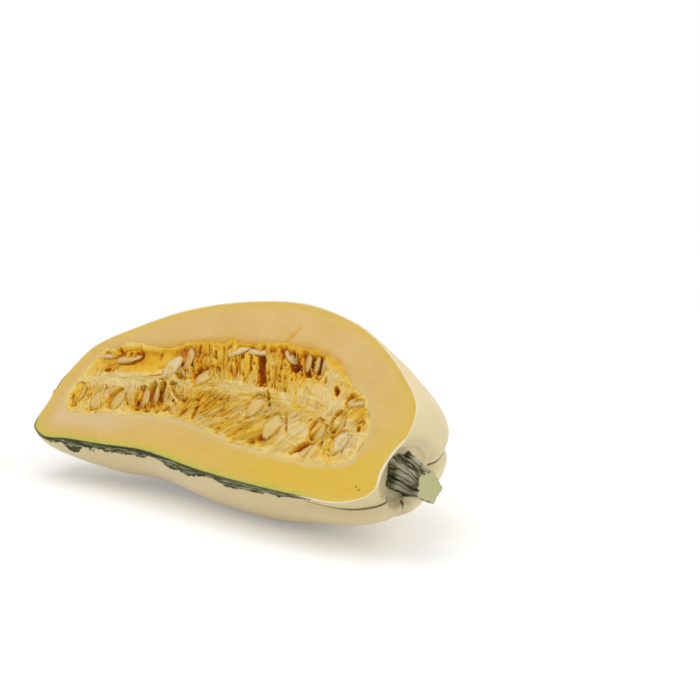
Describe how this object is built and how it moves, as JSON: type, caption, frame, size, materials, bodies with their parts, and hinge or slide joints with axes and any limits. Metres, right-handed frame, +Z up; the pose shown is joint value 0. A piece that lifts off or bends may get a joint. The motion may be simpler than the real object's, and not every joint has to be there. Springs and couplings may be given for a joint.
{
  "type": "halved delicata squash",
  "caption": "Delicata squash cut lengthwise beside its stem, with flesh, pulp and seeds showing, lying on its skin side.",
  "frame": {"origin": "centre of the bounding box, on the surface that the half rests on", "axes": "+X along the fruit from the blossom end to the stem, +Z up, the cut face leaning 40 degrees over towards -Y"},
  "size_m": [0.1838, 0.0784, 0.0719],
  "materials": {
    "flesh_and_rind": "moist peach-yellow cut flesh; smooth cream rind with dark green stripes along the furrows",
    "stem": "dry ribbed grey-green stalk with a paler smooth cut end",
    "pulp": "wet golden fibres, paler along the middle and deep orange in the hollows",
    "seeds": "pale cream seed coat with a thin wet film"
  },
  "bodies": {
    "root": {"flesh_and_rind": "flesh_and_rind", "stem": "stem", "pulp": "pulp", "seed_01": "seeds", "seed_02": "seeds", "seed_03": "seeds", "seed_04": "seeds", "seed_05": "seeds", "seed_06": "seeds", "seed_07": "seeds", "seed_08": "seeds", "seed_09": "seeds", "seed_10": "seeds", "seed_11": "seeds", "seed_12": "seeds", "seed_13": "seeds", "seed_14": "seeds", "seed_15": "seeds", "seed_16": "seeds", "seed_17": "seeds", "seed_18": "seeds", "seed_19": "seeds", "seed_20": "seeds", "seed_21": "seeds", "seed_22": "seeds", "seed_23": "seeds", "seed_24": "seeds", "seed_25": "seeds", "seed_26": "seeds", "seed_27": "seeds", "seed_28": "seeds"}
  },
  "joints": []
}
